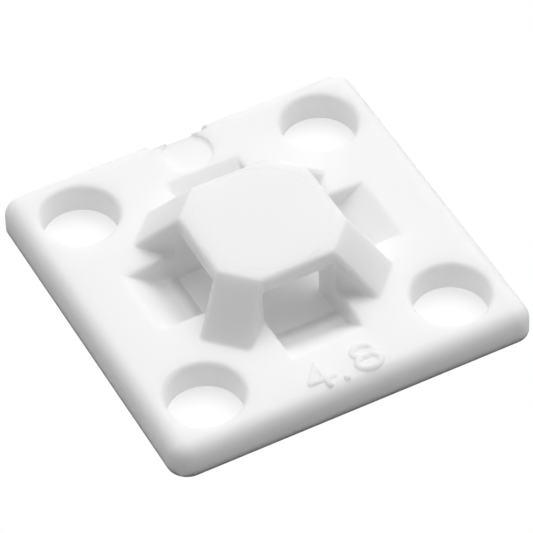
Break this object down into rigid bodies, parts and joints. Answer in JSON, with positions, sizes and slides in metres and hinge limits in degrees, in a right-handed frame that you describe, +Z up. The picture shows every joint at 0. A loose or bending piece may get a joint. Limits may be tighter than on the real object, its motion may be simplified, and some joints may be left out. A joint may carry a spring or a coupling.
{
  "type": "cable tie mount",
  "caption": "Square white nylon cable tie mount: a screw-down base with corner holes and a raised octagonal cap that a cable tie threads under along either axis",
  "frame": {"origin": "middle of the underside of the square base", "axes": "+Z up, out of the surface that the base is screwed to; X and Y along the sides of the base; the moulding gate is on the +Y side"},
  "size_m": [0.028, 0.028, 0.0059],
  "materials": {
    "white_nylon": "natural white moulded nylon, satin"
  },
  "bodies": {
    "root": {"tie_mount": "white_nylon"}
  },
  "joints": []
}
